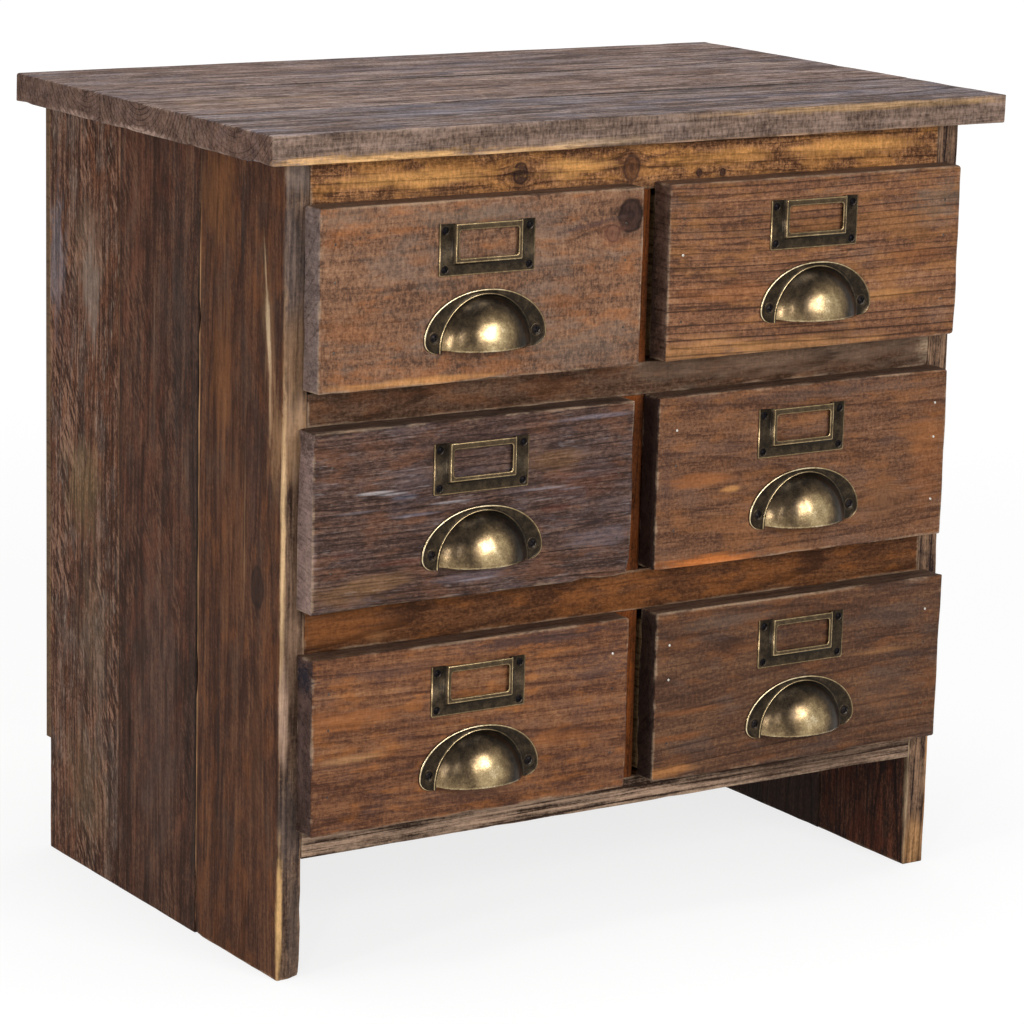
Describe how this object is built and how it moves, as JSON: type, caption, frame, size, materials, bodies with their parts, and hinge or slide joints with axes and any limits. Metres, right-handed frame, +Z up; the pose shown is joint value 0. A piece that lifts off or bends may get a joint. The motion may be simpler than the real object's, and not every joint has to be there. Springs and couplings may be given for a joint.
{
  "type": "nightstand",
  "caption": "Low rustic chest of reclaimed planks with two columns of sliding drawers, antique brass cup pulls and label holders.",
  "frame": {"origin": "middle of the footprint at floor level, under the middle of the whole box", "axes": "+Z up, -Y towards the drawer fronts, +X to the right of someone facing the drawers"},
  "size_m": [0.6, 0.3863, 0.575],
  "materials": {
    "weathered_board": "weathered grey-brown planks, dull wax",
    "side_plank": "dark stained rough-sawn planks, dull",
    "rail_wood": "stained softwood with worn golden grain",
    "drawer_front": "stained reclaimed softwood, satin wax",
    "drawer_box_wood": "plain planed softwood",
    "plywood": "thin plywood, stained thinly",
    "antique_brass": "antique brass, dark in its recesses and bright on its rims",
    "dark_steel": "blackened steel screws and nails"
  },
  "bodies": {
    "case": {"top_front_board": "weathered_board", "top_middle_board": "weathered_board", "top_rear_board": "weathered_board", "left_front_plank": "side_plank", "left_middle_plank": "side_plank", "left_rear_plank": "side_plank", "right_front_plank": "side_plank", "right_middle_plank": "side_plank", "right_rear_plank": "side_plank", "back_panel": "plywood", "top_rail": "rail_wood", "upper_rail": "rail_wood", "lower_rail": "rail_wood", "bottom_panel": "rail_wood", "centre_divider": "rail_wood", "drawer_runners": "drawer_box_wood", "top_cleats": "drawer_box_wood", "cleat_screws": "dark_steel"},
    "top_left_drawer": {"top_left_front": "drawer_front", "top_left_box_sides": "drawer_box_wood", "top_left_box_back": "drawer_box_wood", "top_left_base": "plywood", "top_left_cup_pull": "antique_brass", "top_left_label_holder": "antique_brass", "top_left_fasteners": "dark_steel"},
    "top_right_drawer": {"top_right_front": "drawer_front", "top_right_box_sides": "drawer_box_wood", "top_right_box_back": "drawer_box_wood", "top_right_base": "plywood", "top_right_cup_pull": "antique_brass", "top_right_label_holder": "antique_brass", "top_right_fasteners": "dark_steel"},
    "middle_left_drawer": {"middle_left_front": "drawer_front", "middle_left_box_sides": "drawer_box_wood", "middle_left_box_back": "drawer_box_wood", "middle_left_base": "plywood", "middle_left_cup_pull": "antique_brass", "middle_left_label_holder": "antique_brass", "middle_left_fasteners": "dark_steel"},
    "middle_right_drawer": {"middle_right_front": "drawer_front", "middle_right_box_sides": "drawer_box_wood", "middle_right_box_back": "drawer_box_wood", "middle_right_base": "plywood", "middle_right_cup_pull": "antique_brass", "middle_right_label_holder": "antique_brass", "middle_right_fasteners": "dark_steel"},
    "bottom_left_drawer": {"bottom_left_front": "drawer_front", "bottom_left_box_sides": "drawer_box_wood", "bottom_left_box_back": "drawer_box_wood", "bottom_left_base": "plywood", "bottom_left_cup_pull": "antique_brass", "bottom_left_label_holder": "antique_brass", "bottom_left_fasteners": "dark_steel"},
    "bottom_right_drawer": {"bottom_right_front": "drawer_front", "bottom_right_box_sides": "drawer_box_wood", "bottom_right_box_back": "drawer_box_wood", "bottom_right_base": "plywood", "bottom_right_cup_pull": "antique_brass", "bottom_right_label_holder": "antique_brass", "bottom_right_fasteners": "dark_steel"}
  },
  "joints": [
    {"name": "top_left_slide", "type": "slide", "parent": "case", "child": "top_left_drawer", "axis": [0, -1, 0], "range_m": [0, 0.22]},
    {"name": "top_right_slide", "type": "slide", "parent": "case", "child": "top_right_drawer", "axis": [0, -1, 0], "range_m": [0, 0.22]},
    {"name": "middle_left_slide", "type": "slide", "parent": "case", "child": "middle_left_drawer", "axis": [0, -1, 0], "range_m": [0, 0.22]},
    {"name": "middle_right_slide", "type": "slide", "parent": "case", "child": "middle_right_drawer", "axis": [0, -1, 0], "range_m": [0, 0.22]},
    {"name": "bottom_left_slide", "type": "slide", "parent": "case", "child": "bottom_left_drawer", "axis": [0, -1, 0], "range_m": [0, 0.22]},
    {"name": "bottom_right_slide", "type": "slide", "parent": "case", "child": "bottom_right_drawer", "axis": [0, -1, 0], "range_m": [0, 0.22]}
  ]
}
